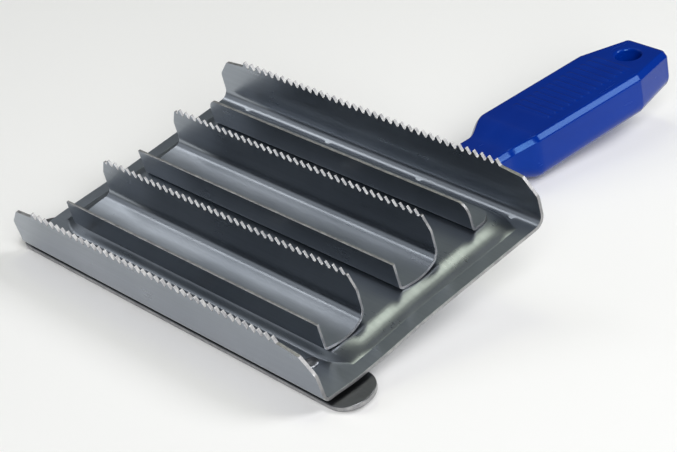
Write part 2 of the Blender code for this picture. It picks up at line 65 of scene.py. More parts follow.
PANEL_REAR_RAMP = (0.0790, 0.0818)
PANEL_CORNER = 0.0060
PLATE_EASE = 0.00018          # rounding of the sheared edges
FOLD_RADIUS = 0.0015
REAR_FOLD_RADIUS = 0.0034
FLANGE_LEAN = math.radians(2.5)
FLANGE_EDGE = {"half": PLATE_HALF, "shoulder": 0.0062, "crest": (0.0654, 0.0114),
               "base": 0.0123, "toothed": 0.0571, "teeth": 38}
WELD_MARKS_X = (-0.057, -0.0185, 0.022, 0.060)
WELD_MARKS_Y = 0.0824
WELD_MARK_RADIUS = 0.0019
WELD_MARK_FLAT = 0.35         # share of the radius that is level
WELD_MARK_SQUASH = 1.3        # how much shorter the marks are across the fold
WELD_MARK_DEPTH = 0.00028
WAVER_HEIGHT = 0.00005        # thin sheet is never quite flat
WAVER_PER_METRE = 45.0
WAVER_SEED = 2.7

# Channels and rear angle
CHANNEL_HALF = 0.0577
CHANNEL_BOW = 0.0014
CHANNEL_BOW_FULLNESS = 0.8    # below 1 the bowed end is fuller than a sine
CHANNEL_SHEET = 0.0008
CHANNEL_EASE = 0.00015
CHANNEL_WAVER = 0.6           # share of the plate's waver
CHANNEL_DEPTH = 0.0156
CHANNEL_FRONT = {"front_channel": 0.0124, "middle_channel": 0.04105}
PLAIN_WALL_TOP = 0.0090
CHANNEL_EDGE = {"half": CHANNEL_HALF, "shoulder": 0.0100, "crest": (0.0551, 0.0152),
                "base": 0.0139, "toothed": 0.0542, "teeth": 36}
CHANNEL_LEAN = math.radians(1.5)
CHANNEL_FRONT_BEND = 0.0009
CHANNEL_REAR_BEND = 0.0030
CHANNEL_SCOOP = 0.0068        # how far before the toothed wall the floor starts to rise
CHANNEL_SCOOP_SLOPE = math.radians(10.0)
CHANNEL_KNEE = 0.045          # radius of that change of slope
ANGLE_FRONT = 0.0700
ANGLE_FOOT = 0.0084
ANGLE_FOOT_ROUND = 0.0048
ANGLE_FOOT_SWEEP = 84.0       # degrees of that rounding that are modelled, up to the foot's straight edge
ANGLE_TOP = 0.0095
ANGLE_CORNER = (0.0034, 0.0044)
FLOOR_GAP = 0.00012           # under a channel's floor, where it is welded down
TOOTH_HEIGHT = 0.0019
WALL_ROWS = 7
# One tooth, from valley to valley: shares of its pitch and of its height
TOOTH_SHAPE = ((0.0, 0.0), (0.14, 0.10), (0.40, 0.86), (0.50, 1.0), (0.60, 0.86), (0.86, 0.10))
WALL_FOOT = 0.003
SHOULDER_ROUND = 0.0025
CREST_ROUND = 0.0006

# Knocker bar, tang and rivets
BAR_HALF = 0.0697
BAR_RADIUS = 0.0075
BAR_Y = 0.0084
BAR_THICKNESS = 0.0017
BAR_EASE = 0.00028
BAR_STANDOFF = 0.0011
TANG_THICKNESS = 0.0020
TANG_EASE = 0.00025
TANG_HALF = 0.009
TANG_NOSE_FLAT = 0.004        # how square the rounded nose starts, so that it has no point
TANG_TAIL_HALF = 0.0062
TANG_START = 0.0190
TANG_JOGGLE = (0.0705, 0.0755)
TANG_CRANK = 0.0015           # how far behind the plate it turns down
TANG_BENDS = [0.003, 0.003, 0.005, 0.005]
TANG_LEAD_IN = 0.004          # how far before the neck it lies in the handle's direction
TANG_END_U = 0.088
KNOCKER_RIVETS = {"knocker_rivet_left": -0.0552, "knocker_rivet_middle": 0.0, "knocker_rivet_right": 0.0552}
KNOCKER_RIVET = {"head": 0.0023, "dome": 0.0009, "shank": 0.0014}
TANG_RIVETS = {"tang_rivet_front": 0.0347, "tang_rivet_rear": 0.0634}
TANG_RIVET = {"head": 0.0034, "dome": 0.0013, "shank": 0.0019}
STANDOFF_RADIUS = 0.0029
RIVET_SKIRT = 0.00012         # upright edge under a rivet's dome
RIVET_DOME_SHARE = 0.87       # of the dome's height, above the skirt
RIVET_UNDERCUT = 0.97
RIVET_DENT = 0.00008
RIVET_DENTS_PER_METRE = 900.0
RIVET_SEEDS = (700.0, 300.0, 1.3)

# Handle, in its own frame: u along its flat thumb face, w out of that face
HANDLE_START = Vector((0.0, 0.0847, -0.0187))
HANDLE_PITCH = math.radians(7.5)
GRIP_HALF = (0.0137, 0.0140)
NECK_START = 0.022
NECK_EDGE = 0.001             # rounding of the neck's front face
NECK_HALF = 0.0098
NECK_TOP = -0.0024
NECK_BOTTOM = -0.0132
GRIP_START = (0.0425, 0.0535)
GRIP_DEPTH = (0.0158, 0.0149)
TAPER_START = 0.0990
HANDLE_END = 0.1180
HANDLE_END_HALF = 0.0096
HANDLE_END_DROP = 0.0008
END_ROUND = 0.0022
END_ROUND_UPRIGHT = 0.5       # share of the end's rounding that top and bottom take
TOP_FACET = 0.0016            # legs of the narrow facet along both edges of the thumb face
FACET_ROUND = 0.0010
BOTTOM_ROUND = 0.0050
ROUND_SHARE = 0.45            # of the handle's thickness, the most a lower rounding may take
HANG_HOLE_U = 0.1086
HANG_HOLE_RADIUS = 0.0042
HANG_HOLE_FLARE = 0.0010
RIB_COUNT = 13
RIB_FIRST_U = 0.0635
RIB_PITCH = 0.0031
RIB_HALF_LENGTH = 0.0080
RIB_HALF_WIDTH = 0.0008
RIB_HEIGHT = 0.00026
RIB_EASE = 0.0002             # half of a rib's level top, and how far its slopes reach past its half width
RIB_END_FADE = 0.0008

# How finely the meshes are divided where they change shape
PLATE_END_STRIP = 0.0008      # the last stretch of the plate's sides, undivided
RAMP_STEP = 0.0006
MARK_REACH = 0.0020
MARK_STEP = 0.0004
FRONT_STEP = 0.0005
PANEL_STEP = 0.0040
REAR_STEP = 0.0004
CHANNEL_STEP = 0.0008
ANGLE_SPAN = 0.0540
ANGLE_STEP = 0.0030
TANG_STEP = 0.0006
HANDLE_STEP = 0.0020
SWELL_STEP = 0.0006
RIB_MARGIN = 0.0010
RIB_STEP = 0.00028
TAPER_STEP = 0.0015
NEAR_REPEAT = 0.00004         # columns closer together than this become one
SMOOTH_TO = math.radians(40)  # edges sharper than this are eased or kept sharp
HANDLE_SMOOTH_TO = math.radians(50)  # the same on the handle

# Camera, in the head's frame: the point it looks at, and its direction and roll as seen from there
CAMERA_TARGET = Vector((0.01922, 0.05285, 0.0))
CAMERA_DISTANCE = 0.6458
CAMERA_AZIMUTH = math.radians(-32.334)
CAMERA_ELEVATION = math.radians(34.636)
CAMERA_ROLL = math.radians(17.968)
CAMERA_LENS = 120.08
CAMERA_SENSOR = 36.0

# Light, in the head's frame: each softbox's direction from the part, distance, size, radiance, colour
LIGHT_TARGET = Vector((0.0, 0.06, 0.0))
SOFTBOXES = {
    "left_box": ((-0.695, 0.06, 0.72), 1.0, (0.42, 0.30), 2.3, (1.0, 1.0, 1.0)),
    "front_box": ((-0.695, -0.44, 0.568), 1.0, (0.90, 0.60), 0.45, (0.94, 0.96, 1.0)),
    "fill_box": ((-0.695, 0.50, 0.53), 1.0, (0.50, 0.50), 0.12, (0.90, 0.96, 1.0)),
    "top_box": ((-0.26, 0.44, 0.86), 1.0, (0.42, 0.30), 2.6, (0.98, 1.0, 0.78)),
    "rear_box": ((0.48, 0.71, 0.52), 1.0, (0.46, 0.46), 7.0, (1.0, 1.0, 1.0)),
    "key_box": ((0.72, -0.30, 0.60), 2.2, (1.30, 1.30), 10.0, (1.0, 0.99, 0.98)),
}
WORLD_COLOUR = (0.82, 0.92, 1.0, 1.0)
WORLD_STRENGTH = 0.07
FLOOR_HALF = 4.0
FLOOR_CLEARANCE = 0.00005

# Colours: the two tones that each material drifts between
SHEET_TONES = ((0.355, 0.385, 0.425), (0.305, 0.335, 0.375))
BAR_TONES = ((0.18, 0.187, 0.197), (0.13, 0.135, 0.143))
SHEARED_TONES = ((0.46, 0.46, 0.46), (0.32, 0.32, 0.33))
RIVET_TONES = ((0.32, 0.34, 0.37), (0.20, 0.20, 0.21))
BLUE_TONES = ((0.0001, 0.017, 0.200), (0.0001, 0.021, 0.230))
FLOOR_TONES = ((0.86, 0.86, 0.86), (0.88, 0.88, 0.88))
LINE_SHADE = 0.7              # a rolling line's tone, as a share of the dark one
PIT_SHADE = 0.3               # and a pit's
NOISE_CORE = (0.35, 0.65)     # noise values over which a tone goes from one end to the other
NOISE_SPAN = (0.3, 0.7)       # and those over which a roughness does

# Heights that follow from the dimensions above
MARGIN_TOP = -PANEL_RISE
MARGIN_UNDER = MARGIN_TOP - PLATE_SHEET
PANEL_UNDER = -PLATE_SHEET
BAR_TOP = MARGIN_UNDER - BAR_STANDOFF
BAR_UNDER = BAR_TOP - BAR_THICKNESS
TANG_PANEL_TOP = PANEL_UNDER
TANG_MARGIN_TOP = MARGIN_UNDER

# The head's place, from the knocker bar's mount: a point of its underside, and that face's outward normal
KNOCKER_POINT = Vector((0.0246, 0.0139, BAR_UNDER))
knocker_face = frame["record"]["mounts"][0]
HEAD_TURN = Matrix.Rotation(math.atan2(knocker_face["axis"][1], -knocker_face["axis"][2]), 4, "X")
HEAD = Matrix.Translation(Vector(knocker_face["pos_m"]) - HEAD_TURN @ KNOCKER_POINT) @ HEAD_TURN


# ------------------------------------------------------------- shader helpers
def new_material(name):
    material = bpy.data.materials.new(name)
    material.use_nodes = True
    return material, material.node_tree.nodes, material.node_tree.links


def texture_space(nodes, links, scale):
    """Object coordinates, stretched: a big number makes the pattern fine along that axis."""
    coordinates = nodes.new("ShaderNodeTexCoord")
    mapping = nodes.new("ShaderNodeMapping")
    mapping.inputs["Scale"].default_value = scale
    links.new(coordinates.outputs["Object"], mapping.inputs["Vector"])
    return mapping.outputs["Vector"]


def noise_at(nodes, links, vector, scale, detail=3.0, roughness=0.55):
    texture = nodes.new("ShaderNodeTexNoise")
    texture.inputs["Scale"].default_value = scale
    texture.inputs["Detail"].default_value = detail
    texture.inputs["Roughness"].default_value = roughness
    links.new(vector, texture.inputs["Vector"])
    return texture.outputs["Fac"]


def remap(nodes, links, value, source, target):
    ranged = nodes.new("ShaderNodeMapRange")
    ranged.inputs["From Min"].default_value = source[0]
    ranged.inputs["From Max"].default_value = source[1]
    ranged.inputs["To Min"].default_value = target[0]
    ranged.inputs["To Max"].default_value = target[1]
    links.new(value, ranged.inputs["Value"])
    return ranged.outputs["Result"]


def blend_colours(nodes, links, factor, first, second):
    """first and second are colours or sockets."""
    mix = nodes.new("ShaderNodeMix")
    mix.data_type = "RGBA"
    links.new(factor, mix.inputs["Factor"])
    for socket, colour in (("A", first), ("B", second)):
        slot = [s for s in mix.inputs if s.name == socket and s.type == "RGBA"][0]
        if isinstance(colour, tuple):
            slot.default_value = (*colour, 1.0)
        else:
            links.new(colour, slot)
    return [s for s in mix.outputs if s.type == "RGBA"][0]


def arithmetic(nodes, links, operation, first, second):
    node = nodes.new("ShaderNodeMath")
    node.operation = operation
    for socket, value in zip(node.inputs, (first, second)):
        if isinstance(value, float):
            socket.default_value = value
        else:
            links.new(value, socket)
    return node.outputs["Value"]


def bump_from(nodes, links, height, distance, under=None):
    bump = nodes.new("ShaderNodeBump")
    bump.inputs["Distance"].default_value = distance
    bump.inputs["Strength"].default_value = 1.0
    links.new(height, bump.inputs["Height"])
    if under is not None:
        links.new(under, bump.inputs["Normal"])
    return bump.outputs["Normal"]


# ------------------------------------------------------------------ materials
def rolled_steel(name, pale, dark, sheen):
    """Zinc plated cold rolled sheet: cloudy sheen, very faint rolling lines along X, tiny pits.

    pale and dark are the two tones it drifts between, sheen the range of its roughness.
    """
    material, nodes, links = new_material(name)
    shader = nodes["Principled BSDF"]
    shader.inputs["Metallic"].default_value = 1.0
    plain = texture_space(nodes, links, (1.0, 1.0, 1.0))
    drawn = texture_space(nodes, links, (14.0, 900.0, 900.0))
    clouds = noise_at(nodes, links, plain, scale=55.0, detail=4.0)
    hue = noise_at(nodes, links, plain, scale=21.0, detail=2.0)
    lines = noise_at(nodes, links, drawn, scale=1.0, roughness=0.6)
    grain = noise_at(nodes, links, plain, scale=2400.0, detail=2.0)
    patches = noise_at(nodes, links, plain, scale=170.0, detail=1.0)
    tone = blend_colours(nodes, links, remap(nodes, links, hue, (0.36, 0.64), (0.0, 1.0)), pale, dark)
    faint = remap(nodes, links, lines, (0.35, 0.70), (0.0, 0.22))
    tone = blend_colours(nodes, links, faint, tone, tuple(LINE_SHADE * channel for channel in dark))
    pits = nodes.new("ShaderNodeTexVoronoi")
    pits.inputs["Scale"].default_value = 420.0
    links.new(plain, pits.inputs["Vector"])
    pit = remap(nodes, links, pits.outputs["Distance"], (0.04, 0.11), (1.0, 0.0))
    rare = remap(nodes, links, patches, (0.64, 0.70), (0.0, 0.15))
    pit = arithmetic(nodes, links, "MULTIPLY", pit, rare)
    tone = blend_colours(nodes, links, pit, tone, tuple(PIT_SHADE * channel for channel in dark))
    links.new(tone, shader.inputs["Base Color"])
    roughness = arithmetic(nodes, links, "ADD", remap(nodes, links, clouds, NOISE_SPAN, sheen),
                           remap(nodes, links, lines, NOISE_SPAN, (-0.015, 0.02)))
    links.new(roughness, shader.inputs["Roughness"])
    normal = bump_from(nodes, links, lines, distance=0.000002)
    normal = bump_from(nodes, links, grain, distance=0.000003, under=normal)
    normal = bump_from(nodes, links, clouds, distance=0.00008, under=normal)
    links.new(normal, shader.inputs["Normal"])
    return material


def sheared_steel():
    """The bright, slightly torn edge that a shear or a punch leaves."""
    material, nodes, links = new_material("sheared_steel")
    shader = nodes["Principled BSDF"]
    shader.inputs["Metallic"].default_value = 1.0
    plain = texture_space(nodes, links, (1.0, 1.0, 1.0))
    tear = noise_at(nodes, links, texture_space(nodes, links, (900.0, 900.0, 120.0)), scale=2.0)
    blotch = noise_at(nodes, links, plain, scale=420.0, detail=2.0)
    tone = blend_colours(nodes, links, remap(nodes, links, blotch, NOISE_CORE, (0.0, 1.0)), *SHEARED_TONES)
    links.new(tone, shader.inputs["Base Color"])
    links.new(remap(nodes, links, tear, NOISE_SPAN, (0.42, 0.58)), shader.inputs["Roughness"])
    links.new(bump_from(nodes, links, tear, distance=0.00003), shader.inputs["Normal"])
    return material


def upset_steel():
    """Rivet heads: duller than the sheet, with the dents of the setting tool."""
    material, nodes, links = new_material("upset_steel")
    shader = nodes["Principled BSDF"]
    shader.inputs["Metallic"].default_value = 1.0
    plain = texture_space(nodes, links, (1.0, 1.0, 1.0))
    dents = noise_at(nodes, links, plain, scale=700.0, detail=2.0)
    stain = noise_at(nodes, links, plain, scale=260.0)
    tone = blend_colours(nodes, links, remap(nodes, links, stain, NOISE_CORE, (0.0, 1.0)), *RIVET_TONES)
    links.new(tone, shader.inputs["Base Color"])
    links.new(remap(nodes, links, stain, NOISE_SPAN, (0.34, 0.50)), shader.inputs["Roughness"])
    links.new(bump_from(nodes, links, dents, distance=0.00009), shader.inputs["Normal"])
    return material


def blue_plastic():
    """Royal blue moulding: even colour, fine spark-eroded grain, faint flow marks and handling scuffs."""
    material, nodes, links = new_material("moulded_blue")
    shader = nodes["Principled BSDF"]
    shader.inputs["IOR"].default_value = 1.5
    shader.inputs["Specular IOR Level"].default_value = 0.45
    shader.inputs["Specular Tint"].default_value = (0.25, 0.56, 1.0, 1.0)
    plain = texture_space(nodes, links, (1.0, 1.0, 1.0))
    flow = noise_at(nodes, links, texture_space(nodes, links, (60.0, 16.0, 60.0)), scale=1.0)
    grain = noise_at(nodes, links, plain, scale=1900.0, detail=2.0)
    scuffed = texture_space(nodes, links, (420.0, 60.0, 300.0))
    scuff = noise_at(nodes, links, scuffed, scale=1.0, detail=4.0, roughness=0.7)
    tone = blend_colours(nodes, links, remap(nodes, links, flow, NOISE_CORE, (0.0, 1.0)), *BLUE_TONES)
    links.new(tone, shader.inputs["Base Color"])
    roughness = arithmetic(nodes, links, "ADD", remap(nodes, links, flow, NOISE_SPAN, (0.16, 0.22)),
                           remap(nodes, links, scuff, (0.55, 0.75), (0.0, 0.12)))
    links.new(roughness, shader.inputs["Roughness"])
    normal = bump_from(nodes, links, grain, distance=0.00001)
    normal = bump_from(nodes, links, flow, distance=0.00015, under=normal)
    links.new(normal, shader.inputs["Normal"])
    return material


def pale_floor():
    """Matt studio paper."""
    material, nodes, links = new_material("pale_floor")
    shader = nodes["Principled BSDF"]
    plain = texture_space(nodes, links, (1.0, 1.0, 1.0))
    tone = blend_colours(nodes, links, noise_at(nodes, links, plain, scale=3.0), *FLOOR_TONES)
    links.new(tone, shader.inputs["Base Color"])
    shader.inputs["Roughness"].default_value = 0.9
    shader.inputs["Specular IOR Level"].default_value = 0.1
    return material


# ---------------------------------------------------------------- mesh helpers
def ease(value, start, end):
    """Smooth step: 0 at start, 1 at end, level at both."""
    t = min(max((value - start) / (end - start), 0.0), 1.0)
    return t * t * (3.0 - 2.0 * t)


def spread(start, end, step):
    """Evenly spaced numbers from start to end, both included, at most a step apart."""
    count = max(int(math.ceil(abs(end - start) / step - 1e-6)), 1)
    return [start + (end - start) * i / count for i in range(count + 1)]


def arc(centre, radii, from_degrees, to_degrees, steps=8):
    """Points along part of an ellipse, both ends included."""
    angles = [math.radians(angle) for angle in spread(from_degrees, to_degrees,
                                                      abs(to_degrees - from_degrees) / steps)]
    return [(centre[0] + radii[0] * math.cos(a), centre[1] + radii[1] * math.sin(a)) for a in angles]


def rounded_path(corners, radii, steps=8):
    """A polyline with its inner corners rounded."""
    points = [corners[0]]
    for index, radius in enumerate(radii, start=1):
        here = Vector(corners[index])
        back = (Vector(corners[index - 1]) - here).normalized()
        ahead = (Vector(corners[index + 1]) - here).normalized()
        half = back.angle(ahead) / 2.0
        run = radius / math.tan(half)
        centre = here + (back + ahead).normalized() * radius / math.sin(half)
        first = here + back * run - centre
        last = here + ahead * run - centre
        sweep = first.angle(last)
        side = 1.0 if first.x * last.y - first.y * last.x > 0.0 else -1.0
        for step in range(steps + 1):
            turned = first.copy()
            turned.rotate(Matrix.Rotation(side * sweep * step / steps, 2))
            points.append(tuple(centre + turned))
    points.append(corners[-1])
    return points


def add_piece(node, mesh, materials):
    """A finished mesh that stands for a CAD node, laid in place and riding on the one body."""
    for polygon in mesh.polygons:
        polygon.use_smooth = True
    piece = bpy.data.objects.new(f"{node}_finish", mesh)
    bpy.context.scene.collection.objects.link(piece)
    for material in materials:
        mesh.materials.append(material)
    mesh.transform(HEAD)
    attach(piece, "root")
    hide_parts(node)
    return piece


def grid_mesh(rows):
    """Quads between rows of points, all rows the same length."""
    grid = bmesh.new()
    lines = [[grid.verts.new(point) for point in row] for row in rows]
    for low, high in zip(lines, lines[1:]):
        for i in range(len(low) - 1):
            grid.faces.new((low[i], low[i + 1], high[i + 1], high[i]))
    bmesh.ops.recalc_face_normals(grid, faces=grid.faces)
    mesh = bpy.data.meshes.new("sheet")
    grid.to_mesh(mesh)
    grid.free()
    return mesh


def thicken_and_ease(piece, thickness, edge):
    """Give a sheet its thickness, with cut faces in its second material and slightly rounded edges."""
    shell = piece.modifiers.new("sheet", "SOLIDIFY")
    shell.thickness = thickness
    shell.offset = 0.0
    shell.use_even_offset = True
    shell.material_offset_rim = 1
    ease_edges(piece, edge)


def ease_edges(piece, width, segments=2):
    """Round a piece's sharp edges in its first material."""
    bevel = piece.modifiers.new("edge", "BEVEL")
    bevel.width = width
    bevel.segments = segments
    bevel.limit_method = "ANGLE"
    bevel.angle_limit = SMOOTH_TO
    bevel.material = 0
    weigh_normals(piece)


def weigh_normals(piece):
    """Let the large faces set the shading, so that they look flat up to their eased edges."""
    weighted = piece.modifiers.new("normals", "WEIGHTED_NORMAL")
    weighted.keep_sharp = True


# -------------------------------------------------------------- toothed sheets
def edge_profile(half, shoulder, crest, base, toothed, teeth):
    """(x, height) points of a toothed wall's top, from the foot of its left end to that of its right."""
    ends = rounded_path([(half, WALL_FOOT), (half, shoulder), crest, (toothed, base)],
                        [SHOULDER_ROUND, CREST_ROUND], steps=5)[1:-1]
    pitch = 2.0 * toothed / teeth
    row = []
    for tooth in range(teeth):
        start = -toothed + tooth * pitch
        for share, height in TOOTH_SHAPE:
            row.append((start + share * pitch, base + height * TOOTH_HEIGHT))
    row.append((toothed, base))
    left = [(-x, z) for x, z in ends]
    return left + row + list(reversed(ends))


def height_at(profile, x):
    """Height of a wall's top at x."""
    for (x0, z0), (x1, z1) in zip(profile, profile[1:]):
        if x0 <= x <= x1:
            return z0 if x1 - x0 < 1e-9 else z0 + (z1 - z0) * (x - x0) / (x1 - x0)
    return profile[-1][1]


def columns_for(profile, extra=()):
    """The x of every point of a profile, and the extra ones, in order and without near repeats."""
    values = sorted([x for x, _ in profile] + list(extra))
    kept = [values[0]]
    for value in values[1:]:
        if value - kept[-1] > NEAR_REPEAT:
            kept.append(value)
    kept[-1] = values[-1]
    return kept


def folded_rows(section, floor_y, columns, tops, half, reach, lift):
    """Rows of points for a sheet folded up at both sides.

    section holds the (y, z) corners and bends, from one free edge to the other; its first and last
    stretches are the walls. floor_y gives extra rows of the floor, tops each wall's height at x.
    reach(y, z) is how far the ends stand out past half, and lift(x, y) what is pressed into the floor.
    """
    low = min(z for _, z in section)
    bends = section[1:-1] + [(y, low) for y in floor_y]
    middle = (section[1][0] + section[-2][0]) / 2.0
    # In order along the section: down the front bend, across the floor, up the rear one
    path = sorted(bends, key=lambda bend: bend[0] + math.copysign(bend[1] - low, bend[0] - middle))

    def point(x, y, z):
        pressed = lift(x, y) if z < low + 1e-6 else 0.0
        return (x * (half + reach(y, z)) / half, y, z + pressed)

    rows = wall_rows(section[1], section[0], columns, tops[0])[::-1]
    rows += [[point(x, y, z) for x in columns] for y, z in path]
    rows += wall_rows(section[-2], section[-1], columns, tops[1])
    return rows


def wall_rows(foot, top, columns, height):
    """Rows of a wall, from above its foot up to the free edge over each x."""
    lean = (top[0] - foot[0]) / (top[1] - foot[1])
    rows = []
    for index in range(1, WALL_ROWS + 1):
        rises = [(height(x) - foot[1]) * (index / WALL_ROWS) for x in columns]
        rows.append([(x, foot[0] + lean * rise, foot[1] + rise) for x, rise in zip(columns, rises)])
    return rows


def panel_height(x, y):
    """Height of the pressed panel above the margin: a ramp on each side, and rounded corners."""
    ramp = PANEL_SIDE_RAMP[1] - PANEL_SIDE_RAMP[0]
    side = (abs(x) - PANEL_SIDE_RAMP[0]) / ramp
    front = (PANEL_FRONT_RAMP[1] - y) / (PANEL_FRONT_RAMP[1] - PANEL_FRONT_RAMP[0])
    rear = (y - PANEL_REAR_RAMP[0]) / (PANEL_REAR_RAMP[1] - PANEL_REAR_RAMP[0])
    corner = PANEL_CORNER / ramp
    across = max(side + corner, 0.0)
    along = max(front, rear) + corner
    outside = math.hypot(across, max(along, 0.0)) + min(max(across, along), 0.0) - corner
    outside = min(max(outside, 0.0), 1.0)
    lengthwise = max(along, 0.0) / max(across + along, 1e-9)
    rolled_over = outside ** 2
    eased = ease(outside, 0.0, 1.0)
    return PANEL_RISE * (1.0 - rolled_over - (eased - rolled_over) * lengthwise)


def weld_mark(x, y):
    """Depth of the spot welds' dimples."""
    depth = 0.0
    for mark in WELD_MARKS_X:
        away = math.hypot(x - mark, (y - WELD_MARKS_Y) * WELD_MARK_SQUASH)
        depth += WELD_MARK_DEPTH * (1.0 - ease(away, WELD_MARK_RADIUS * WELD_MARK_FLAT, WELD_MARK_RADIUS))
    return depth


def waver(x, y):
    """Slow unevenness of the sheet."""
    return WAVER_HEIGHT * noise.noise(Vector((x * WAVER_PER_METRE, y * WAVER_PER_METRE, WAVER_SEED)))


def plate_reach(y, z):
    """How far the plate's sides swell out near the front."""
    grown, fading, gone = PLATE_BOW_SPAN
    if z > 0.0:
        return 0.0
    return PLATE_BOW * ease(y, 0.0, grown) * (1.0 - ease(y, fading, gone))


def build_base_plate():
    """One sheet: margin, raised panel, and a toothed flange folded up at front and rear."""
    middle = MARGIN_TOP - PLATE_SHEET / 2.0
    front = PLATE_SHEET / 2.0
    rear = PLATE_DEPTH - PLATE_SHEET / 2.0
    top = FLANGE_EDGE["base"]
    lean = math.tan(FLANGE_LEAN) * (top - middle)
    section = rounded_path([(front - lean, top), (front, middle), (rear, middle), (rear + lean, top)],
                           [FOLD_RADIUS, REAR_FOLD_RADIUS])
    profile = edge_profile(**FLANGE_EDGE)
    ramp = spread(FLANGE_EDGE["toothed"], PLATE_HALF - PLATE_END_STRIP, RAMP_STEP)
    marks = [x + step for x in WELD_MARKS_X for step in spread(-MARK_REACH, MARK_REACH, MARK_STEP)]
    columns = columns_for(profile, ramp + [-x for x in ramp] + marks)
    near = PANEL_FRONT_RAMP[1]
    far = PANEL_REAR_RAMP[0]
    floor = spread(2.0 * FOLD_RADIUS, near, FRONT_STEP) + spread(near, far, PANEL_STEP)[1:]
    floor += spread(far, rear - REAR_FOLD_RADIUS, REAR_STEP)[1:-1]
    tops = [lambda x: height_at(profile, x)] * 2
    rows = folded_rows(section, floor, columns, tops, PLATE_HALF, plate_reach,
                       lambda x, y: panel_height(x, y) - weld_mark(x, y) + waver(x, y))
    piece = add_piece("base_plate", grid_mesh(rows), [STEEL, SHEARED])
    thicken_and_ease(piece, PLATE_SHEET, PLATE_EASE)


def build_channel(node, front):
    """A U of thinner sheet, its front at y = front: plain wall, floor with bowed ends, toothed wall."""
    low = FLOOR_GAP + CHANNEL_SHEET / 2.0
    near = front + CHANNEL_SHEET / 2.0
    far = front + CHANNEL_DEPTH - CHANNEL_SHEET / 2.0
    top = CHANNEL_EDGE["base"]
    lean = math.tan(CHANNEL_LEAN) * (top - low)
    knee = far - CHANNEL_SCOOP
    raised = low + CHANNEL_SCOOP * math.tan(CHANNEL_SCOOP_SLOPE)
    corners = [(near, PLAIN_WALL_TOP), (near, low), (knee, low), (far, raised), (far + lean, top)]
    section = rounded_path(corners, [CHANNEL_FRONT_BEND, CHANNEL_KNEE, CHANNEL_REAR_BEND])
    profile = edge_profile(**CHANNEL_EDGE)
    level_end = knee - CHANNEL_KNEE * math.tan(CHANNEL_SCOOP_SLOPE / 2.0)
    floor = spread(near + CHANNEL_FRONT_BEND, level_end, CHANNEL_STEP)[1:-1]

    def bow(y, z):
        across = min(max((y - near) / (far - near), 0.0), 1.0)
        rise = 1.0 - ease(z, low, low + CHANNEL_REAR_BEND)
        return CHANNEL_BOW * math.sin(math.pi * across) ** CHANNEL_BOW_FULLNESS * rise

    tops = [lambda x: PLAIN_WALL_TOP, lambda x: height_at(profile, x)]
    rows = folded_rows(section, floor, columns_for(profile), tops, CHANNEL_HALF, bow,
                       lambda x, y: CHANNEL_WAVER * waver(x, y + front))
    piece = add_piece(node, grid_mesh(rows), [STEEL, SHEARED])
    thicken_and_ease(piece, CHANNEL_SHEET, CHANNEL_EASE)


def build_rear_angle():
    """An L of the channels' sheet: a plain wall with rounded corners, and a foot with rounded ends."""
    low = FLOOR_GAP + CHANNEL_SHEET / 2.0
    near = ANGLE_FRONT + CHANNEL_SHEET / 2.0
    edge = ANGLE_FRONT + ANGLE_FOOT
    turn_in = edge - ANGLE_FOOT_ROUND
    section = rounded_path([(near, ANGLE_TOP), (near, low), (turn_in, low)], [CHANNEL_FRONT_BEND])
    rounding = arc((turn_in, 0.0), (ANGLE_FOOT_ROUND, 0.0), ANGLE_FOOT_SWEEP, 0.0, steps=12)
    section += [(y, low) for y, _ in rounding]
    corner = arc((CHANNEL_HALF - ANGLE_CORNER[0], ANGLE_TOP - ANGLE_CORNER[1]), ANGLE_CORNER, 0.0, 90.0)
    profile = [(-x, z) for x, z in corner] + list(reversed(corner))
    columns = columns_for(profile, spread(-ANGLE_SPAN, ANGLE_SPAN, ANGLE_STEP))

    def rounded_foot(y):
        past = min(max(y - turn_in, 0.0), ANGLE_FOOT_ROUND)
        return math.sqrt(ANGLE_FOOT_ROUND ** 2 - past ** 2) - ANGLE_FOOT_ROUND

    rows = wall_rows(section[1], section[0], columns, lambda x: height_at(profile, x))[::-1]
    for y, z in section[1:]:
        scale = (CHANNEL_HALF + rounded_foot(y)) / CHANNEL_HALF
        rows.append([(x * scale, y, z) for x in columns])
    piece = add_piece("rear_angle", grid_mesh(rows), [STEEL, SHEARED])
    thicken_and_ease(piece, CHANNEL_SHEET, CHANNEL_EASE)


# ---------------------------------------------------- knocker bar, tang, rivets
def build_knocker_bar():
    """A flat strip with round ends, bright on its cut edge."""
    outline = arc((BAR_HALF, BAR_Y), (BAR_RADIUS, BAR_RADIUS), -90.0, 90.0, steps=28)
    outline += arc((-BAR_HALF, BAR_Y), (BAR_RADIUS, BAR_RADIUS), 90.0, 270.0, steps=28)
    solid = bmesh.new()
    under = [solid.verts.new((x, y, BAR_UNDER)) for x, y in outline]
    over = [solid.verts.new((x, y, BAR_TOP)) for x, y in outline]
    solid.faces.new(list(reversed(under)))
    solid.faces.new(over)
    for i in range(len(outline)):
        after = (i + 1) % len(outline)
        side = solid.faces.new((under[i], under[after], over[after], over[i]))
        side.material_index = 1
    mesh = bpy.data.meshes.new("bar")
    solid.to_mesh(mesh)
    solid.free()
    piece = add_piece("knocker_bar", mesh, [BAR_STEEL, SHEARED])
    ease_edges(piece, BAR_EASE, segments=3)


def handle_point(u, w):
    """A point of the handle's own frame, as (y, z) of the head."""
    return (HANDLE_START.y + u * math.cos(HANDLE_PITCH) + w * math.sin(HANDLE_PITCH),
            HANDLE_START.z - u * math.sin(HANDLE_PITCH) + w * math.cos(HANDLE_PITCH))


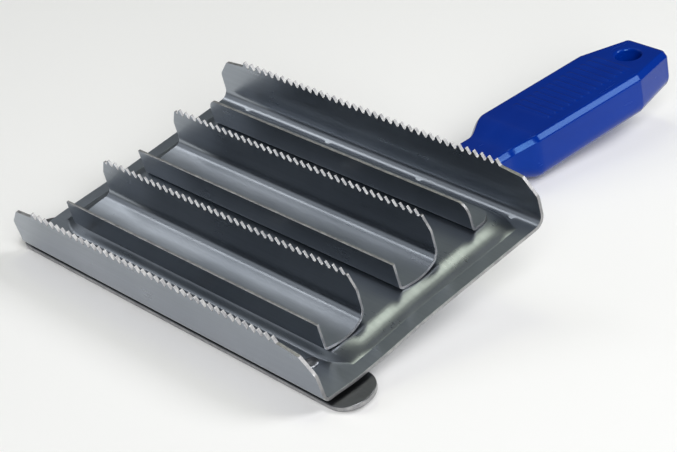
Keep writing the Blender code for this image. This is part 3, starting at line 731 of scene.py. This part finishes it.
def build_tang():
    """Flat steel with a round nose, joggled under the panel's edge and cranked down into the neck."""
    half = TANG_THICKNESS / 2.0
    depth = (NECK_TOP + NECK_BOTTOM) / 2.0
    straight = NECK_START - TANG_LEAD_IN
    corners = [
        (TANG_START, TANG_PANEL_TOP - half),
        (TANG_JOGGLE[0], TANG_PANEL_TOP - half),
        (TANG_JOGGLE[1], TANG_MARGIN_TOP - half),
        (PLATE_DEPTH + TANG_CRANK, TANG_MARGIN_TOP - half),
        handle_point(straight, depth),
        handle_point(TANG_END_U, depth),
    ]
    section = rounded_path(corners, TANG_BENDS)
    nose = [(y, section[0][1]) for y in spread(TANG_START, TANG_START + TANG_HALF, TANG_STEP)]
    taper = (PLATE_DEPTH, handle_point(straight, depth)[0])
    rows = []
    for y, z in nose + section[1:]:
        into = min((y - TANG_START) / TANG_HALF, 1.0)
        width = TANG_HALF * math.sqrt(max(1.0 - (1.0 - into) ** 2, TANG_NOSE_FLAT))
        tapered = min(max((y - taper[0]) / (taper[1] - taper[0]), 0.0), 1.0)
        width += (TANG_TAIL_HALF - TANG_HALF) * tapered
        rows.append([(width * share, y, z) for share in spread(-1.0, 1.0, 0.25)])
    piece = add_piece("tang", grid_mesh(rows), [BAR_STEEL, SHEARED])
    thicken_and_ease(piece, TANG_THICKNESS, TANG_EASE)


def lathe(profile, segments=40):
    """A closed turned body from (radius, z) points, top to bottom, both ends on the axis."""
    body = bmesh.new()
    rings = []
    for radius, z in profile[1:-1]:
        turns = [2.0 * math.pi * i / segments for i in range(segments)]
        rings.append([body.verts.new((radius * math.cos(a), radius * math.sin(a), z)) for a in turns])
    for ring, below in zip(rings, rings[1:]):
        for i in range(segments):
            after = (i + 1) % segments
            body.faces.new((ring[i], below[i], below[after], ring[after]))
    for ring, tip in ((rings[0], profile[0]), (rings[-1], profile[-1])):
        apex = body.verts.new((0.0, 0.0, tip[1]))
        for i in range(segments):
            body.faces.new((ring[i], ring[(i + 1) % segments], apex))
    bmesh.ops.recalc_face_normals(body, faces=body.faces)
    return body


def build_rivet(node, size, x, y, top, bottom, standoff=None):
    """Domed, slightly hammered head and tail, and a collar between the sheets if there is one."""
    dome = arc((0.0, 0.0), (size["dome"], size["head"]), 0.0, 90.0, steps=10)
    shank = size["shank"]
    head = [(radius, top + RIVET_SKIRT + height * RIVET_DOME_SHARE) for height, radius in dome]
    head.append((size["head"] * RIVET_UNDERCUT, top))
    tail = [(radius, bottom + top - z) for radius, z in reversed(head)]
    collar = []
    if standoff:
        high, low = standoff
        collar = [(shank, high), (STANDOFF_RADIUS, high), (STANDOFF_RADIUS, low), (shank, low)]
    body = lathe(head + [(shank, top)] + collar + [(shank, bottom)] + tail)
    for vertex in body.verts:
        across = vertex.co.x * RIVET_DENTS_PER_METRE + x * RIVET_SEEDS[0]
        along = vertex.co.y * RIVET_DENTS_PER_METRE + y * RIVET_SEEDS[1]
        dent = noise.noise(Vector((across, along, RIVET_SEEDS[2])))
        if vertex.co.z > top + RIVET_SKIRT or vertex.co.z < bottom - RIVET_SKIRT:
            vertex.co.z += RIVET_DENT * dent
    bmesh.ops.translate(body, verts=body.verts, vec=(x, y, 0.0))
    mesh = bpy.data.meshes.new("rivet")
    body.to_mesh(mesh)
    body.free()
    mesh.set_sharp_from_angle(angle=SMOOTH_TO)
    add_piece(node, mesh, [RIVET])


def build_rivets():
    for node, x in KNOCKER_RIVETS.items():
        build_rivet(node, KNOCKER_RIVET, x, BAR_Y, MARGIN_TOP, BAR_UNDER, (MARGIN_UNDER, BAR_TOP))
    for node, y in TANG_RIVETS.items():
        build_rivet(node, TANG_RIVET, 0.0, y, 0.0, TANG_PANEL_TOP - TANG_THICKNESS)


# --------------------------------------------------------------------- handle
def handle_section(u):
    """Half width, top, bottom and bottom corner radius of the handle at u."""
    swell = ease(u, *GRIP_START)
    along = max((u - GRIP_START[1]) / (TAPER_START - GRIP_START[1]), 0.0)
    grip_half = GRIP_HALF[0] + (GRIP_HALF[1] - GRIP_HALF[0]) * min(along, 1.0)
    grip_bottom = -(GRIP_DEPTH[0] + (GRIP_DEPTH[1] - GRIP_DEPTH[0]) * along)
    half = NECK_HALF + (grip_half - NECK_HALF) * swell
    top = NECK_TOP * (1.0 - swell)
    bottom = NECK_BOTTOM + (grip_bottom - NECK_BOTTOM) * swell
    if u > TAPER_START:
        share = min((u - TAPER_START) / (HANDLE_END - END_ROUND - TAPER_START), 1.0)
        half += (HANDLE_END_HALF - GRIP_HALF[1]) * share
        top -= HANDLE_END_DROP * share
    pull = 0.0
    if u > HANDLE_END - END_ROUND:
        pull = END_ROUND - math.sqrt(max(END_ROUND ** 2 - (u - HANDLE_END + END_ROUND) ** 2, 0.0))
    if u < NECK_START + NECK_EDGE:
        pull = NECK_EDGE - math.sqrt(max(NECK_EDGE ** 2 - (NECK_START + NECK_EDGE - u) ** 2, 0.0))
    round_bottom = min(BOTTOM_ROUND, (top - bottom) * ROUND_SHARE)
    upright_pull = pull * END_ROUND_UPRIGHT
    return half - pull, top - upright_pull, bottom + upright_pull, round_bottom


def rib_height(x, u):
    """Low rounded bars across the thumb face."""
    nearest = min(max(round((u - RIB_FIRST_U) / RIB_PITCH), 0), RIB_COUNT - 1)
    off = abs(u - RIB_FIRST_U - nearest * RIB_PITCH)
    end = 1.0 - ease(abs(x), RIB_HALF_LENGTH - RIB_END_FADE, RIB_HALF_LENGTH + RIB_EASE)
    return RIB_HEIGHT * (1.0 - ease(off, RIB_EASE, RIB_HALF_WIDTH + RIB_EASE)) * end


def section_ring(u):
    """(x, w) points round the handle at u, from the middle of its thumb face."""
    half, top, bottom, round_bottom = handle_section(u)
    flat = half - 2.0 * TOP_FACET
    side_high = top - 2.0 * TOP_FACET
    side_low = bottom + round_bottom
    lower = half - round_bottom
    right = [(share * flat, top + rib_height(share * flat, u)) for share in spread(0.0, 1.0, 0.05)[:-1]]
    facet = [(flat, top), (half - TOP_FACET, top), (half, top - TOP_FACET), (half, side_high)]
    right += rounded_path(facet, [FACET_ROUND, FACET_ROUND], steps=4)
    right += [(half, side_high + (side_low - side_high) * share) for share in spread(0.0, 1.0, 0.2)[1:-1]]
    right += arc((lower, side_low), (round_bottom, round_bottom), 0.0, -90.0, steps=8)
    right += [(lower * share, bottom) for share in (0.67, 0.34, 0.0)]
    return right + [(-x, w) for x, w in reversed(right[1:-1])]


def handle_stations():
    """Where along the handle its sections are taken: close together wherever it changes shape."""
    neck = spread(NECK_START, NECK_START + NECK_EDGE, NECK_EDGE / 5)
    last_rib = RIB_FIRST_U + (RIB_COUNT - 1) * RIB_PITCH
    ribs = spread(RIB_FIRST_U - RIB_MARGIN, last_rib + RIB_MARGIN, RIB_STEP)
    nose = [HANDLE_END - END_ROUND * (1.0 - math.sin(math.radians(angle))) for angle in range(0, 91, 9)]
    stations = neck + spread(neck[-1], GRIP_START[0], HANDLE_STEP) + spread(*GRIP_START, SWELL_STEP)
    stations += spread(GRIP_START[1], ribs[0], HANDLE_STEP) + ribs
    stations += spread(ribs[-1], nose[0], TAPER_STEP) + nose
    kept = [stations[0]]
    for u in stations[1:]:
        if u - kept[-1] > 1e-6:
            kept.append(u)
    return kept


def build_handle():
    """A skin through the sections, with the hanging hole cut out of it."""
    body = bmesh.new()
    rings = []
    for u in handle_stations():
        ring = []
        for x, w in section_ring(u):
            y, z = handle_point(u, w)
            ring.append(body.verts.new((x, y, z)))
        rings.append(ring)
    for ring, ahead in zip(rings, rings[1:]):
        for i in range(len(ring)):
            after = (i + 1) % len(ring)
            body.faces.new((ring[i], ring[after], ahead[after], ahead[i]))
    body.faces.new(list(reversed(rings[0])))
    body.faces.new(rings[-1])
    bmesh.ops.recalc_face_normals(body, faces=body.faces)
    mesh = bpy.data.meshes.new("handle")
    body.to_mesh(mesh)
    body.free()
    mesh = cut_away(mesh, hanging_hole())
    piece = add_piece("handle", mesh, [PLASTIC])
    mesh.set_sharp_from_angle(angle=HANDLE_SMOOTH_TO)
    weigh_normals(piece)


def hanging_hole():
    """The hole's shape as a solid: straight, with a rounded flare at each mouth."""
    _, top, bottom, _ = handle_section(HANG_HOLE_U)
    radius = HANG_HOLE_RADIUS
    flare = HANG_HOLE_FLARE
    wide = radius + flare
    upper = [(0.0, top + flare), (wide, top + flare)]
    upper += arc((wide, top - flare), (flare, flare), 90.0, 180.0, steps=8)
    lower = arc((wide, bottom + flare), (flare, flare), 180.0, 270.0, steps=8)
    lower += [(wide, bottom - flare), (0.0, bottom - flare)]
    solid = lathe(upper + lower, segments=64)
    y, z = handle_point(HANG_HOLE_U, 0.0)
    place = Matrix.Translation((0.0, y, z)) @ Matrix.Rotation(-HANDLE_PITCH, 4, "X")
    bmesh.ops.transform(solid, matrix=place, verts=solid.verts)
    mesh = bpy.data.meshes.new("hole")
    solid.to_mesh(mesh)
    solid.free()
    return mesh


def cut_away(mesh, tool_mesh):
    """The mesh with the tool's shape taken out of it."""
    block = bpy.data.objects.new("block", mesh)
    tool = bpy.data.objects.new("tool", tool_mesh)
    for piece in (block, tool):
        bpy.context.scene.collection.objects.link(piece)
    cut = block.modifiers.new("cut", "BOOLEAN")
    cut.operation = "DIFFERENCE"
    cut.solver = "EXACT"
    cut.object = tool
    view = bpy.context.evaluated_depsgraph_get()
    result = bpy.data.meshes.new_from_object(block.evaluated_get(view))
    for piece in (block, tool):
        bpy.data.objects.remove(piece)
    return result


# ------------------------------------------------------------ floor and light
def build_floor():
    """A flat pale sheet, just under the part."""
    low = min(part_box(node)[0].z for node in frame["nodes"])
    mesh = bpy.data.meshes.new("floor")
    sheet = bmesh.new()
    bmesh.ops.create_grid(sheet, x_segments=8, y_segments=8, size=FLOOR_HALF)
    sheet.to_mesh(mesh)
    sheet.free()
    floor = bpy.data.objects.new("floor", mesh)
    mesh.materials.append(pale_floor())
    bpy.context.scene.collection.objects.link(floor)
    floor.location = (0.0, 0.0, low - FLOOR_CLEARANCE)


def add_softbox(name, direction, distance, size, radiance, colour):
    """A rectangular light seen from the part in that direction of the head's frame, X side first."""
    light = bpy.data.lights.new(name, "AREA")
    light.shape = "RECTANGLE"
    light.size = size[0]
    light.size_y = size[1]
    light.energy = radiance * math.pi * size[0] * size[1]
    light.color = colour
    lamp = bpy.data.objects.new(name, light)
    bpy.context.scene.collection.objects.link(lamp)
    toward = Vector(direction).normalized()
    along = (Vector((1.0, 0.0, 0.0)) - toward * toward.x).normalized()
    turn = Matrix((along, toward.cross(along), toward)).transposed().to_4x4()
    lamp.matrix_world = HEAD @ Matrix.Translation(LIGHT_TARGET + toward * distance) @ turn


def build_light():
    for name, settings in SOFTBOXES.items():
        add_softbox(name, *settings)
    world = bpy.data.worlds.new("studio")
    world.use_nodes = True
    background = world.node_tree.nodes["Background"]
    background.inputs["Color"].default_value = WORLD_COLOUR
    background.inputs["Strength"].default_value = WORLD_STRENGTH
    bpy.context.scene.world = world
    bpy.context.scene.view_settings.view_transform = "Standard"
    bpy.context.scene.view_settings.look = "None"


def build_camera():
    """The photographed view, rolled a little because the head lies tilted in it."""
    lens = bpy.data.cameras.new("camera")
    lens.sensor_width = CAMERA_SENSOR
    lens.lens = CAMERA_LENS
    lens.clip_start = 0.01
    camera = bpy.data.objects.new("camera", lens)
    bpy.context.scene.collection.objects.link(camera)
    across = math.cos(CAMERA_ELEVATION)
    back = Vector((across * math.cos(CAMERA_AZIMUTH), across * math.sin(CAMERA_AZIMUTH),
                   math.sin(CAMERA_ELEVATION)))
    right = Vector((0.0, 0.0, 1.0)).cross(back).normalized()
    turn = Matrix((right, back.cross(right), back)).transposed().to_4x4()
    place = Matrix.Translation(CAMERA_TARGET + back * CAMERA_DISTANCE)
    camera.matrix_world = HEAD @ place @ turn @ Matrix.Rotation(-CAMERA_ROLL, 4, "Z")
    bpy.context.scene.camera = camera


STEEL = rolled_steel("plated_sheet", *SHEET_TONES, sheen=(0.27, 0.33))
BAR_STEEL = rolled_steel("plated_bar", *BAR_TONES, sheen=(0.28, 0.38))
SHEARED = sheared_steel()
RIVET = upset_steel()
PLASTIC = blue_plastic()
build_base_plate()
for channel, front in CHANNEL_FRONT.items():
    build_channel(channel, front)
build_rear_angle()
build_knocker_bar()
build_tang()
build_rivets()
build_handle()
build_floor()
build_light()
build_camera()

bpy.context.view_layer.update()
